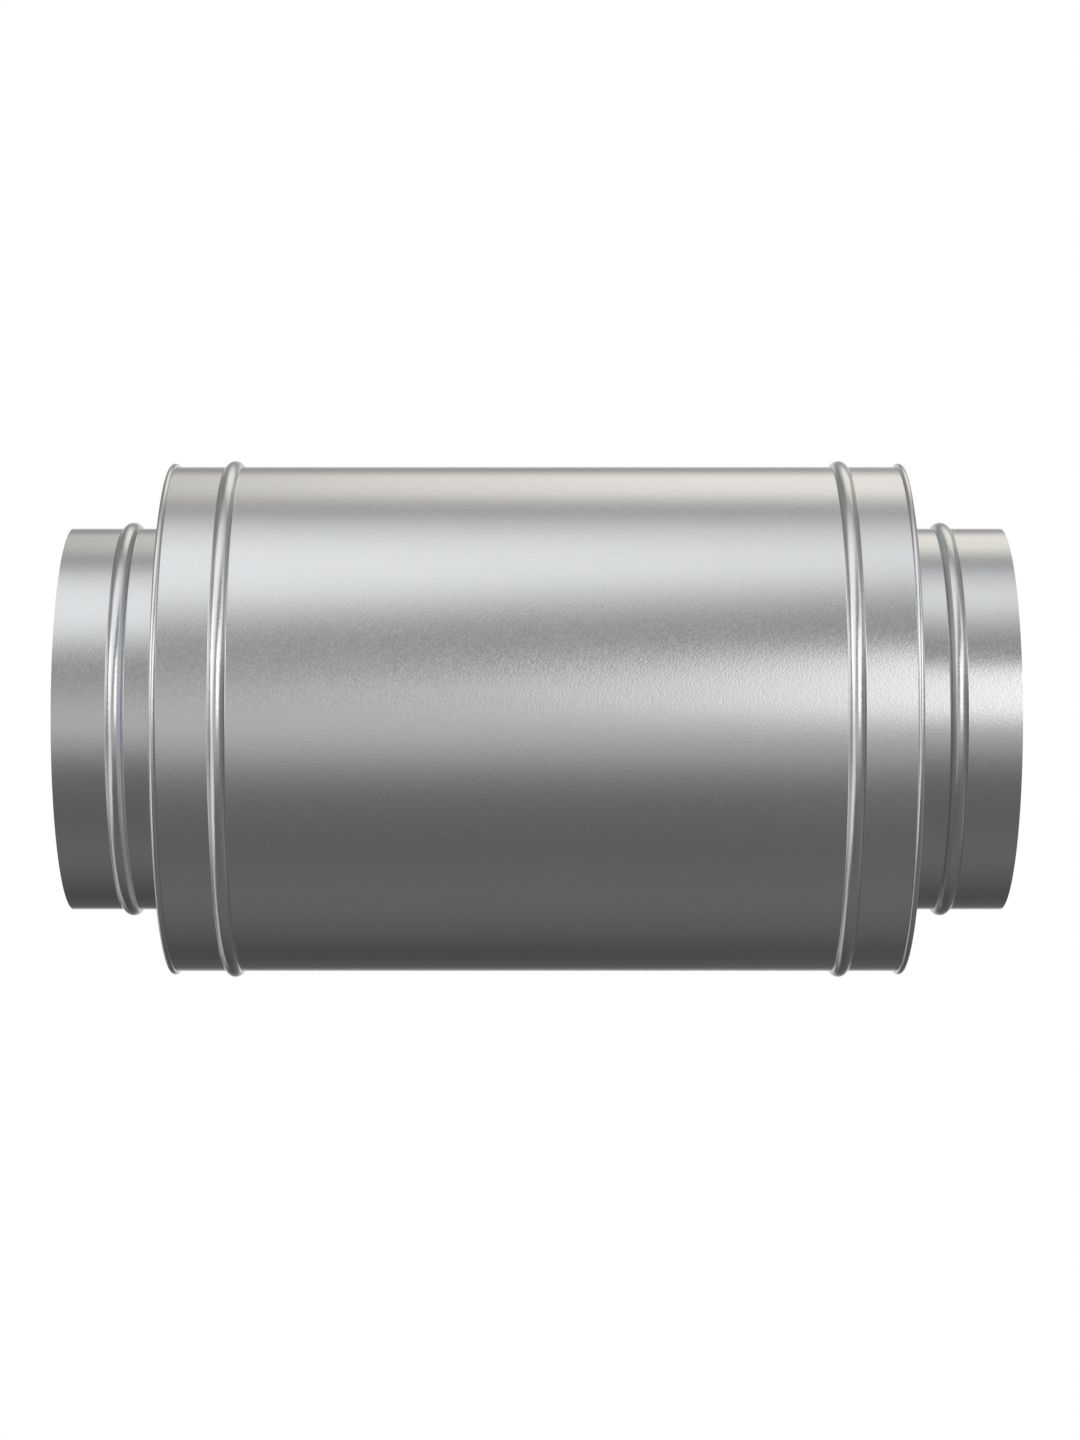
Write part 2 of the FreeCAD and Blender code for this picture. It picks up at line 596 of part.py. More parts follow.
def build_wool():
    body = new_body("wool_mat")
    r0, r1, r2 = dim("wool_inner_radius"), dim("wool_step_radius"), dim("wool_outer_radius")
    half, step = dim("wool_half_length"), dim("tissue_half_length")
    s = Section(body, "WoolSection")
    pts = [(-half, r1), (-step, r1), (-step, r0), (step, r0), (step, r1), (half, r1),
           (half, r2), (-half, r2)]
    xs = ["-$wool_half_length", "-$tissue_half_length", "-$tissue_half_length",
          "$tissue_half_length", "$tissue_half_length", "$wool_half_length",
          "$wool_half_length", "-$wool_half_length"]
    ys = ["$wool_step_radius", "$wool_step_radius", "$wool_inner_radius",
          "$wool_inner_radius", "$wool_step_radius", "$wool_step_radius",
          "$wool_outer_radius", "$wool_outer_radius"]
    n = len(pts)
    lines = [s.line(pts[i], pts[(i + 1) % n]) for i in range(n)]
    for i in range(n):
        s.join(lines[i], 2, lines[(i + 1) % n], 1)
    for i in (0, 2, 4, 6):
        s.flat(lines[i])
    for i in (1, 3, 5, 7):
        s.upright(lines[i])
    # one height for each level run, one place for each upright
    s.at_y(lines[0], 1, r1, ys[0])
    s.at_y(lines[2], 1, r0, ys[2])
    s.at_y(lines[4], 1, r1, ys[4])
    s.at_y(lines[6], 1, r2, ys[6])
    s.at_x(lines[7], 2, -half, xs[0])
    s.at_x(lines[1], 1, -step, xs[1])
    s.at_x(lines[3], 1, step, xs[3])
    s.at_x(lines[5], 1, half, xs[5])
    sketch = s.done()
    revolve(body, "WoolRing", sketch)
    doc.recompute()
    before = body.Shape.Volume
    # butt joint: the mat's two ends meet with a narrow gap, all along
    j = Section(body, "ButtJoint", "YZ_Plane")
    gap = dim("wool_joint")
    box_section(j, -gap / 2, gap / 2, r0 - 5, r2 + 5, "-$wool_joint / 2", "$wool_joint / 2",
                "$wool_inner_radius - 5", "$wool_outer_radius + 5")
    joint_sketch = j.done()
    cut = body.newObject("PartDesign::Pocket", "WoolJoint")
    cut.Profile = joint_sketch
    cut.Type = "Length"
    cut.Midplane = True
    cut.Length = 4 * half
    cut.setExpression("Length", expr("4 * $wool_half_length"))
    joint_sketch.Visibility = False
    body.Tip = cut
    doc.recompute()
    taken = before - body.Shape.Volume
    print("wool_mat         joint cut: %.1f mm3, of %.1f"
          % (taken, gap * (r2 - r0) * 2 * half))
    if taken < 0.9 * gap * (r2 - r0) * 2 * half:
        raise RuntimeError("wool_mat: its joint is missing")
    body.Placement = Placement(Vector(0, 0, 0), Rotation(Vector(1, 0, 0), -60.0))
    checked_volume(body, ring_volume(r0, r2, 2 * half), 0.02)
    return body


def build_mastic(label, turn):
    """A ring with its hollow side on the neck's bend and its toe on the spigot.

    The hollow side is three flats that touch a circle just clear of the bend.
    """
    body = new_body(label)
    t, bend = dim("cap_sheet"), dim("cap_neck_bend")
    gap = dim("mastic_gap")
    bx = dim("cap_face_pos") - t - bend
    by = dim("cap_neck_radius") + t + bend
    rr = bend + t + gap
    base = dim("spigot_radius") + gap
    toe = dim("mastic_reach")
    # degrees below the bend's centre, and how far out each corner lies
    corners = [(62.0, 0.0), (47.5, 14.5), (18.5, 14.5), (4.0, 0.0)]
    pts, texts = [], []
    for down, half_step in corners:
        out = rr / math.cos(math.radians(half_step))
        pts.append((bx + out * math.cos(math.radians(down)),
                    by - out * math.sin(math.radians(down))))
        reach = "($cap_neck_bend + $cap_sheet + $mastic_gap) / cos(%s deg)" % half_step
        texts.append(("$cap_face_pos - $cap_sheet - $cap_neck_bend + %s * cos(%s deg)"
                      % (reach, down),
                      "$cap_neck_radius + $cap_sheet + $cap_neck_bend - %s * sin(%s deg)"
                      % (reach, down)))
    pts = [(pts[0][0], base)] + pts + [(toe, base)]
    s = Section(body, "MasticSection")
    n = len(pts)
    lines = [s.line(pts[i], pts[(i + 1) % n]) for i in range(n)]
    for i in range(n):
        s.join(lines[i], 2, lines[(i + 1) % n], 1)
    heel, floor = lines[0], lines[-1]
    s.upright(heel)
    s.flat(floor)
    for i, (text_x, text_y) in enumerate(texts):
        s.at_x(lines[i + 1], 1, pts[i + 1][0], text_x)
        s.at_y(lines[i + 1], 1, pts[i + 1][1], text_y)
    s.at_y(floor, 2, base, "$spigot_radius + $mastic_gap")
    s.at_x(floor, 1, toe, "$mastic_reach")
    sketch = s.done()
    revolve(body, "MasticRing", sketch)
    body.Placement = Placement(Vector(0, 0, 0), Rotation(Vector(0, 0, 1), turn))
    doc.recompute()
    # area times the way its centre goes round
    expected = 0.0
    for i in range(n):
        (x0, y0), (x1, y1) = pts[i], pts[(i + 1) % n]
        expected += (x1 - x0) * (y0 * y0 + y0 * y1 + y1 * y1) / 3.0
    checked_volume(body, abs(expected) * math.pi, 0.01)
    return body


# --------------------------------------------------------------------------
# rivets
# --------------------------------------------------------------------------
def build_rivets(label, turn):
    """Four blind rivets: domed head in the bore, shank, blind head outside the tube."""
    body = new_body(label)
    body.AllowCompound = True
    x = dim("rivet_pos")
    seat, head_r, head_h = (dim("rivet_head_seat"), dim("rivet_head_radius"),
                            dim("rivet_head_height"))
    shank, bulb_r, bulb_seat, bulb_h = (dim("rivet_shank_radius"), dim("rivet_bulb_radius"),
                                        dim("rivet_bulb_seat"), dim("rivet_bulb_height"))
    low, high = seat - head_h, bulb_seat + bulb_h
    # this sketch's upright axis is the rivet's own
    s = Section(body, "RivetSection")
    s.sketch.AttachmentOffset = Placement(Vector(x, 0, 0), Rotation())
    s.sketch.setExpression("AttachmentOffset.Base.x", expr("$rivet_pos"))
    pts = [(0, low), (head_r * 0.55, low), (head_r, seat - 0.3), (head_r, seat),
           (shank, seat), (shank, bulb_seat), (bulb_r, bulb_seat),
           (bulb_r, high - 0.9), (bulb_r - 0.9, high), (0, high)]
    n = len(pts)
    lines = [s.line(pts[i], pts[(i + 1) % n]) for i in range(n)]
    for i in range(n):
        s.join(lines[i], 2, lines[(i + 1) % n], 1)
    for i in (0, 3, 5, 8):
        s.flat(lines[i])
    for i in (2, 4, 6, 9):
        s.upright(lines[i])
    s.at_x(lines[9], 2, 0.0, "0")
    s.at_y(lines[0], 1, low, "$rivet_head_seat - $rivet_head_height")
    s.at_x(lines[0], 2, head_r * 0.55, "0.55 * $rivet_head_radius")
    s.at_x(lines[2], 1, head_r, "$rivet_head_radius")
    s.at_y(lines[2], 1, seat - 0.3, "$rivet_head_seat - 0.3")
    s.at_y(lines[3], 1, seat, "$rivet_head_seat")
    s.at_x(lines[4], 1, shank, "$rivet_shank_radius")
    s.at_y(lines[5], 1, bulb_seat, "$rivet_bulb_seat")
    s.at_x(lines[6], 1, bulb_r, "$rivet_bulb_radius")
    s.at_y(lines[6], 2, high - 0.9, "$rivet_bulb_seat + $rivet_bulb_height - 0.9")
    s.at_x(lines[8], 1, bulb_r - 0.9, "$rivet_bulb_radius - 0.9")
    s.at_y(lines[8], 1, high, "$rivet_bulb_seat + $rivet_bulb_height")
    sketch = s.done()
    spin = body.newObject("PartDesign::Revolution", "RivetTurned")
    spin.Profile = sketch
    spin.ReferenceAxis = (sketch, ["V_Axis"])
    spin.Angle = 360.0
    sketch.Visibility = False
    doc.recompute()
    one = body.Shape.Volume
    ring = body.newObject("PartDesign::PolarPattern", "RivetRing")
    ring.Originals = [spin]
    ring.Axis = (origin_plane(body, "X_Axis"), [""])
    ring.Angle = 360.0
    ring.Occurrences = 4
    ring.setExpression("Occurrences", expr("$rivet_count"))
    body.Tip = ring
    body.Placement = Placement(Vector(0, 0, 0), Rotation(Vector(0, 0, 1), turn)).multiply(
        Placement(Vector(0, 0, 0), Rotation(Vector(1, 0, 0), 45.0)))
    doc.recompute()
    print("%-16s %d solids, %.1f mm3 each" % (label, len(body.Shape.Solids), one))
    if len(body.Shape.Solids) != int(dim("rivet_count")):
        raise RuntimeError(label + ": wrong number of rivets")
    return body


# --------------------------------------------------------------------------
# perforated tube
# --------------------------------------------------------------------------
def build_tube():
    """Sheet rolled round and perforated in staggered columns.

    One sector of four columns is cut, then repeated round the axis and sewn, so
    that the tube is one solid. The sector at the seam is left plain, and carries
    the lap inside the tube; the sectors at the rivets carry the rivet holes,
    beyond the perforated field.
    """
    ri = dim("tube_inner_radius")
    ro = ri + dim("tube_sheet")
    half = dim("tube_half_length")
    columns = int(dim("hole_columns"))
    pitch, hole = dim("hole_pitch"), dim("hole_diameter") / 2.0
    zone = dim("hole_zone")
    per_sector = 4
    sectors = columns // per_sector
    angle = 360.0 / sectors
    axis = Vector(1, 0, 0)

    def bored(holes, lap):
        outer = Part.makeCylinder(ro, 2 * half, Vector(-half, 0, 0), axis, angle)
        inner = Part.makeCylinder(ri, 2 * half, Vector(-half, 0, 0), axis, angle)
        wall = outer.cut(inner)
        if holes:
            wall = wall.cut(Part.Compound(holes))
        if lap:
            lap_half = dim("tube_lap_length")
            ro_lap, ri_lap = ri, ri - dim("tube_sheet")
            a = Part.makeCylinder(ro_lap + 0.1, 2 * lap_half, Vector(-lap_half, 0, 0), axis, 4.0)
            b = Part.makeCylinder(ri_lap, 2 * lap_half, Vector(-lap_half, 0, 0), axis, 4.0)
            strip = a.cut(b)
            strip.rotate(Vector(0, 0, 0), axis, angle / 2 - 2.0)
            wall = wall.fuse(strip).removeSplitter()
        return wall.Solids[0]

    def pointing(column_angle):
        """Away from the axis, column_angle round from the sector's first edge."""
        a = math.radians(90.0 + column_angle)
        return Vector(0, math.cos(a), math.sin(a))

    holes = []
    rows = int(2 * zone / pitch)
    for column in range(per_sector):
        out = pointing(360.0 / columns * (column + 0.5))
        shift = 0.25 if column % 2 == 0 else 0.75
        for k in range(rows):
            x = -rows * pitch / 2.0 + pitch * (k + shift)
            holes.append(Part.makeCylinder(hole, 6.0, Vector(x, 0, 0) + out * (ri - 3.0), out))

    kinds = {"plain": bored(holes, False), "seam": bored([], True)}

    def sides(solid):
        """All faces but the two flat cuts between sectors."""
        keep = []
        for face in solid.Faces:
            surface = face.Surface
            if isinstance(surface, Part.Plane):
                if abs(surface.Axis.x) < 1e-6:
                    point = face.CenterOfMass
                    a = math.degrees(math.atan2(point.z, point.y)) - 90.0
                    radius = math.hypot(point.y, point.z)
                    on_cut = (abs(a) < 0.01 or abs(a - angle) < 0.01)
                    if on_cut and radius > ri:
                        continue
            keep.append(face)
        return keep

    faces_of = {name: sides(solid) for name, solid in kinds.items()}
    faces = []
    for k in range(sectors):
        for face in faces_of["seam" if k == 0 else "plain"]:
            copy = face.copy()
            copy.rotate(Vector(0, 0, 0), axis, angle * k)
            faces.append(copy)
    shell = Part.Compound(faces)
    shell.sewShape(1e-4)
    shells = shell.Shells if shell.Shells else [shell]
    if len(shells) != 1 or not shells[0].isClosed():
        raise RuntimeError("perforated_tube: its faces don't close")
    solid = Part.Solid(shells[0])
    if solid.Volume < 0:
        solid.reverse()
    # rivet holes, in the plain margins beyond the perforated field
    drills = []
    for k in range(int(dim("rivet_count"))):
        a = math.radians(45.0 + 360.0 / dim("rivet_count") * k)
        out = Vector(0, math.cos(a), math.sin(a))
        for x in (-dim("rivet_pos"), dim("rivet_pos")):
            drills.append(Part.makeCylinder(dim("rivet_hole_radius"), 6.0,
                                            Vector(x, 0, 0) + out * (ri - 3.0), out))
    whole = solid.Volume
    solid = solid.cut(Part.Compound(drills)).Solids[0]
    print("perforated_tube  %d holes, rivet holes %.2f, volume %.1f mm3" % (
        len(holes) * (sectors - 1),
        (whole - solid.Volume) / (math.pi * dim("rivet_hole_radius") ** 2 * (ro - ri)),
        solid.Volume))
    tube = doc.addObject("Part::Feature", "perforated_tube")
    tube.Label = "perforated_tube"
    tube.Shape = solid
    tube.Placement = Placement(Vector(0, 0, 0), Rotation(Vector(1, 0, 0), 0.0))
    return tube


pieces = [
    build_casing(),
    build_cap("end_cap_left", 180.0),
    build_cap("end_cap_right", 0.0),
    build_spigot("spigot_left", 180.0),
    build_spigot("spigot_right", 0.0),
    build_tube(),
    build_tissue(),
    build_wool(),
    build_rivets("rivets_left", 180.0),
    build_rivets("rivets_right", 0.0),
    build_mastic("sealant_left", 180.0),
    build_mastic("sealant_right", 0.0),
]

doc.recompute()
bad = []
for obj in doc.Objects:
    if "Invalid" in obj.State or "Error" in obj.State:
        bad.append("%s %s" % (obj.Name, obj.State))
for piece in pieces:
    shape = piece.Shape
    if shape.isNull() or not shape.isValid():
        bad.append(piece.Label + " has a null or invalid shape")
if bad:
    raise RuntimeError("; ".join(bad))
for piece in pieces:
    piece.Shape.exportStep("parts/%s.step" % piece.Label)
    box = piece.Shape.BoundBox
    print("%-16s X %.2f..%.2f Y %.2f..%.2f Z %.2f..%.2f" % (
        piece.Label, box.XMin, box.XMax, box.YMin, box.YMax, box.ZMin, box.ZMax))
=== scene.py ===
"""Looks of the round duct sound attenuator. Metres, +X along the duct, +Z up."""
import math

import bpy
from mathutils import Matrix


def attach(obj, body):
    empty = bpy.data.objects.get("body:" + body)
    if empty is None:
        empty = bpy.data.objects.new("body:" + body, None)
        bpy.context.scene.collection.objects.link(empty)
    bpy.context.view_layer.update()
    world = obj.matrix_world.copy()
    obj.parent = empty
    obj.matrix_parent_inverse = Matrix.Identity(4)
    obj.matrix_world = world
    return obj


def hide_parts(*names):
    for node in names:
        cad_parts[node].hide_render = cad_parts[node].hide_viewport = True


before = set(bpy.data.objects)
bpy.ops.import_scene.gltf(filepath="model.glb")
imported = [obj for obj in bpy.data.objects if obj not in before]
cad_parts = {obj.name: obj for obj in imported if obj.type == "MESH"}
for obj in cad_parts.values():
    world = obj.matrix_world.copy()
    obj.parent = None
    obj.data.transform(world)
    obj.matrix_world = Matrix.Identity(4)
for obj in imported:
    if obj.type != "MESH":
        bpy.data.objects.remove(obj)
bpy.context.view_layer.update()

MM = 0.001


# --------------------------------------------------------------------------
# sections: closed loops of (x, r) points with the outward normal at each
# --------------------------------------------------------------------------
def arc_points(cx, cr, radius, start, end, steps, flip=False):
    """Points and normals on an arc, degrees from +x towards +r."""
    out = []
    for i in range(steps + 1):
        a = math.radians(start + (end - start) * i / steps)
        nx, nr = math.cos(a), math.sin(a)
        p = (cx + radius * nx, cr + radius * nr)
        out.append((p, (-nx, -nr) if flip else (nx, nr)))
    return out


def line_points(a, b, normal, steps=1):
    return [((a[0] + (b[0] - a[0]) * i / steps, a[1] + (b[1] - a[1]) * i / steps), normal)
            for i in range(steps + 1)]


def bead_run(x0, x1, beads, wall, side, walls=10):
    """One side of a beaded sheet from x0 to x1 (x0 < x1).

    beads: (centre, crown's centre, crown radius, foot radius) on this side;
    side is +1 for the outside, whose normal points away from the axis.
    """
    run = []
    x = x0
    for pos, lift, crown, foot in beads:
        reach = math.sqrt((crown + foot) ** 2 - (wall + foot - lift) ** 2)
        tilt = math.degrees(math.atan2(wall + foot - lift, reach))
        run += line_points((x, wall), (pos - reach, wall), (0.0, float(side)), walls)
        foot_arc = arc_points(pos - reach, wall + foot, foot, 270.0, 360.0 - tilt, 7, flip=True)
        crown_arc = arc_points(pos, lift, crown, 180.0 - tilt, tilt, 28)
        foot_two = arc_points(pos + reach, wall + foot, foot, 180.0 + tilt, 270.0, 7, flip=True)
        for part in (foot_arc, crown_arc, foot_two):
            run += [(p, (side * n[0], side * n[1])) for p, n in part]
        x = pos + reach
    run += line_points((x, wall), (x1, wall), (0.0, float(side)), walls)
    return run


def cleaned(run):
    """Drop a point that repeats the one before it, where the normals agree."""
    out = []
    for p, n in run:
        if out:
            q, m = out[-1]
            same = abs(p[0] - q[0]) < 1e-6 and abs(p[1] - q[1]) < 1e-6
            if same and n[0] * m[0] + n[1] * m[1] > 0.999:
                continue
        out.append((p, n))
    (p, n), (q, m) = out[0], out[-1]
    if abs(p[0] - q[0]) < 1e-6 and abs(p[1] - q[1]) < 1e-6 and n[0] * m[0] + n[1] * m[1] > 0.999:
        out.pop()
    return out


# --------------------------------------------------------------------------
# meshes
# --------------------------------------------------------------------------
def mesh_object(name, verts, faces, normals=None, smooth=True):
    """normals: one per vertex; a sharp edge is two vertices in one place."""
    mesh = bpy.data.meshes.new(name)
    mesh.from_pydata(verts, [], faces)
    mesh.update()
    if smooth:
        mesh.polygons.foreach_set("use_smooth", [True] * len(mesh.polygons))
    if normals is not None:
        mesh.normals_split_custom_set_from_vertices(normals)
    obj = bpy.data.objects.new(name, mesh)
    bpy.context.scene.collection.objects.link(obj)
    return obj


def spun(name, section, angles, shape=None, flip_x=False):
    """Revolve a closed section about the x axis.

    section: (x, r) points in mm with normals. Points that repeat with another
    normal make a sharp edge: they are welded in space but keep their own normal.
    shape(x, r, normal, angle) may move a point; it returns (x, r, normal).
    Angles are degrees from +Y towards +Z.
    """
    count = len(section)
    # one vertex per place; the corner normals carry the sharp edges
    place, index = [], []
    for i, (p, n) in enumerate(section):
        if place and abs(section[place[-1]][0][0] - p[0]) < 1e-6 \
                and abs(section[place[-1]][0][1] - p[1]) < 1e-6:
            index.append(len(place) - 1)
            continue
        if i == count - 1 and abs(section[0][0][0] - p[0]) < 1e-6 \
                and abs(section[0][0][1] - p[1]) < 1e-6:
            index.append(0)
            continue
        place.append(i)
        index.append(len(place) - 1)
    places = len(place)
    verts, own = [], {}
    for j, angle in enumerate(angles):
        a = math.radians(angle)
        ca, sa = math.cos(a), math.sin(a)
        for i, (p, n) in enumerate(section):
            x, r, nx, nr = p[0], p[1], n[0], n[1]
            if shape:
                x, r, nx, nr = shape(x, r, nx, nr, angle)
            if flip_x:
                x, nx = -x, -nx
            own[(j, i)] = (nx, nr * ca, nr * sa)
            if place[index[i]] == i:
                verts.append((x * MM, r * ca * MM, r * sa * MM))
    faces, corner_normals = [], []
    turns = len(angles)
    for j in range(turns):
        k = (j + 1) % turns
        for i in range(count):
            m = (i + 1) % count
            a, b = index[i], index[m]
            if a == b:
                continue
            quad = [(j, i), (j, m), (k, m), (k, i)]
            if not flip_x:
                quad.reverse()
            faces.append([q[0] * places + index[q[1]] for q in quad])
            corner_normals += [own[q] for q in quad]
    mesh = bpy.data.meshes.new(name)
    mesh.from_pydata(verts, [], faces)
    mesh.update()
    mesh.polygons.foreach_set("use_smooth", [True] * len(mesh.polygons))
    mesh.normals_split_custom_set(corner_normals)
    obj = bpy.data.objects.new(name, mesh)
    bpy.context.scene.collection.objects.link(obj)
    return obj


def even_angles(count, extra=()):
    step = 360.0 / count
    angles = [i * step for i in range(count)]
    for e in extra:
        e %= 360.0
        angles = [a for a in angles if min(abs(a - e), 360 - abs(a - e)) > 0.3 * step]
    angles += [e % 360.0 for e in extra]
    return sorted(angles)


# --------------------------------------------------------------------------
# casing
# --------------------------------------------------------------------------
CASING_R, CASING_T = 207.5, 0.6
BEAD_X, BEAD_H, BEAD_ARC, BEAD_FOOT = 247.42, 4.9, 6.85, 1.0
CURL_X, CURL_R = 296.75, 207.85
LAP_AT = -45.0          # degrees from +Y towards +Z
LAP_WIDE = 2.2
LAP_END = 289.0


def casing_section():
    r, t = CASING_R, CASING_T
    lift = r + BEAD_H - BEAD_ARC
    bend, curl, tail = 0.2, 1.83, 0.15
    flange_in, flange_out = CURL_X + curl - t, CURL_X + curl
    bend_x = flange_in - bend
    beads = [(-BEAD_X, lift, BEAD_ARC, BEAD_FOOT), (BEAD_X, lift, BEAD_ARC, BEAD_FOOT)]
    inner_beads = [(-BEAD_X, lift, BEAD_ARC - t, BEAD_FOOT + t),
                   (BEAD_X, lift, BEAD_ARC - t, BEAD_FOOT + t)]

    def right_end():
        run = []
        run += arc_points(bend_x, r + bend, bend, 270.0, 360.0, 5, flip=True)
        run += line_points((flange_in, r + bend), (flange_in, CURL_R), (-1.0, 0.0))
        run += [(p, (-n[0], -n[1])) for p, n in
                arc_points(CURL_X, CURL_R, curl - t, 0.0, 180.0, 10)]
        run += line_points((CURL_X - curl + t, CURL_R), (CURL_X - curl + t, CURL_R - tail),
                           (1.0, 0.0))
        run += line_points((CURL_X - curl + t, CURL_R - tail),
                           (CURL_X - curl, CURL_R - tail), (0.0, -1.0))
        run += line_points((CURL_X - curl, CURL_R - tail), (CURL_X - curl, CURL_R), (-1.0, 0.0))
        run += arc_points(CURL_X, CURL_R, curl, 180.0, 0.0, 12)
        run += line_points((flange_out, CURL_R), (flange_out, r + bend), (1.0, 0.0))
        run += arc_points(bend_x, r + bend, bend + t, 0.0, -90.0, 6)
        return run

    outer = bead_run(-LAP_END, LAP_END, beads, r, 1, walls=8)
    outer = line_points((-bend_x, r), (-LAP_END - 0.02, r), (0.0, 1.0)) \
        + line_points((-LAP_END, r), (-LAP_END, r), (0.0, 1.0)) + outer \
        + line_points((LAP_END + 0.02, r), (bend_x, r), (0.0, 1.0))
    right = right_end()
    left = [((-p[0], p[1]), (-n[0], n[1])) for p, n in reversed(right)]
    inner = bead_run(-bend_x, bend_x, inner_beads, r - t, -1, walls=3)
    inner.reverse()
    return cleaned(outer + right + inner + left)


def lap_step(x, r, nx, nr, angle):
    """The overlapping edge: one sheet more on the outside, over the lap's width."""
    if abs(x) > LAP_END + 0.01 or nr < -0.9 or r < CASING_R - 0.3:
        return x, r, nx, nr
    off = (angle - LAP_AT + 180.0) % 360.0 - 180.0
    half = LAP_WIDE / 2
    if off < -half - 0.001 or off > half + 2.6:
        return x, r, nx, nr
    if off <= half:
        rise = 1.0
    else:
        s = (half + 2.6 - off) / 2.6
        rise = s * s * (3 - 2 * s)
    return x + nx * CASING_T * rise, r + nr * CASING_T * rise, nx, nr


# --------------------------------------------------------------------------
# end caps, spigots
# --------------------------------------------------------------------------
def cap_section():
    face, t = 299.3, 0.7
    neck_r, neck_end, bend = 156.95, 286.0, 1.5
    curl, tail = 2.55, 0.28
    bend_x, bend_r = face - t - bend, neck_r + t + bend
    mid, height, arc, foot = 183.0, 2.6, 8.0, 3.0
    lift = face + height - arc

    def face_run(wall, crown, feet, sign):
        reach = math.sqrt((crown + feet) ** 2 - (wall + feet - lift) ** 2)
        tilt = math.degrees(math.atan2(wall + feet - lift, reach))
        run = line_points((wall, bend_r), (wall, mid - reach), (1.0, 0.0), 4)
        run += [(p, (-n[0], -n[1])) for p, n in
                arc_points(wall + feet, mid - reach, feet, 180.0, 90.0 + tilt, 6)]
        run += arc_points(lift, mid, crown, tilt - 90.0, 90.0 - tilt, 16)
        run += [(p, (-n[0], -n[1])) for p, n in
                arc_points(wall + feet, mid + reach, feet, 270.0 - tilt, 180.0, 6)]
        run += line_points((wall, mid + reach), (wall, CURL_R), (1.0, 0.0), 4)
        return [(p, (sign * n[0], sign * n[1])) for p, n in run]

    out = line_points((neck_end, neck_r), (bend_x, neck_r), (0.0, -1.0), 2)
    out += arc_points(bend_x, bend_r, bend + t, 270.0, 360.0, 10)
    out += face_run(face, arc, foot, 1)
    out += arc_points(CURL_X, CURL_R, curl, 0.0, 180.0, 26)
    out += line_points((CURL_X - curl, CURL_R), (CURL_X - curl, CURL_R - tail), (-1.0, 0.0))
    out += line_points((CURL_X - curl, CURL_R - tail), (CURL_X - curl + t, CURL_R - tail),
                       (0.0, -1.0))
    out += line_points((CURL_X - curl + t, CURL_R - tail), (CURL_X - curl + t, CURL_R),
                       (1.0, 0.0))
    out += [(p, (-n[0], -n[1])) for p, n in
            arc_points(CURL_X, CURL_R, curl - t, 180.0, 0.0, 10)]
    back = face_run(face - t, arc - t, foot + t, -1)
    back.reverse()
    out += back
    out += [(p, (-n[0], -n[1])) for p, n in
            arc_points(bend_x, bend_r, bend, 360.0, 270.0, 6)]
    out += line_points((bend_x, neck_r + t), (neck_end, neck_r + t), (0.0, 1.0))
    out += line_points((neck_end, neck_r + t), (neck_end, neck_r), (-1.0, 0.0))
    out.reverse()
    return cleaned(out)


SPIGOT_R, SPIGOT_T = 156.9, 0.6


def spigot_section():
    r, t = SPIGOT_R, SPIGOT_T
    x0, x1 = 255.0, 381.1
    pos, height, arc = 331.55, 4.98, 7.2
    lift = r + height - arc
    out = bead_run(x0, x1, [(pos, lift, arc, BEAD_FOOT)], r, 1, walls=6)
    out += line_points((x1, r), (x1, r - t), (1.0, 0.0))
    inner = bead_run(x0, x1, [(pos, lift, arc - t, BEAD_FOOT + t)], r - t, -1, walls=6)
    inner.reverse()
    out += inner
    out += line_points((x0, r - t), (x0, r), (-1.0, 0.0))
    return cleaned(out)


def mastic_section():
    bx, br, rr = 297.1, 159.15, 2.22
    base, toe = 156.92, 300.6
    run = [(p, (-n[0], -n[1])) for p, n in arc_points(bx, br, rr, -62.0, -4.0, 8)]
    top = run[-1][0]
    start = run[0][0]
    # a slightly hollow, finger-drawn slope from the cap's face to the spigot
    slope = []
    for i in range(9):
        s = i / 8
        x = top[0] + (toe - top[0]) * s
        r = top[1] + (base - top[1]) * s - 0.25 * math.sin(math.pi * s)
        slope.append((x, r))
    length = math.hypot(toe - top[0], top[1] - base)
    n = ((top[1] - base) / length, (toe - top[0]) / length)
    run += [(p, n) for p in slope]
    run += line_points((toe, base), (start[0], base), (0.0, -1.0))
    run += line_points((start[0], base), start, (-1.0, 0.0))
    return cleaned(run)


# --------------------------------------------------------------------------
# build the sheet pieces
# --------------------------------------------------------------------------
lap = [LAP_AT + LAP_WIDE / 2 * s for s in (-1, -0.4, 0.4, 1)] + [LAP_AT - LAP_WIDE / 2 - 0.012]
lap += [LAP_AT + LAP_WIDE / 2 + d for d in (0.4, 0.9, 1.4, 1.9, 2.6)]
casing = spun("casing_sheet", casing_section(), even_angles(288, lap), shape=lap_step)
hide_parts("casing")
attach(casing, "root")

caps, spigots, mastics = [], [], []
for side, flip in (("left", True), ("right", False)):
    cap = spun("end_cap_sheet_" + side, cap_section(), even_angles(288), flip_x=flip)
    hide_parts("end_cap_" + side)
    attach(cap, "root")
    caps.append(cap)
    spigot = spun("spigot_sheet_" + side, spigot_section(), even_angles(256), flip_x=flip)
    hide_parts("spigot_" + side)
    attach(spigot, "root")
    spigots.append(spigot)
    mastic = spun("mastic_bead_" + side, mastic_section(), even_angles(256), flip_x=flip)
    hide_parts("sealant_" + side)
    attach(mastic, "root")
    mastics.append(mastic)


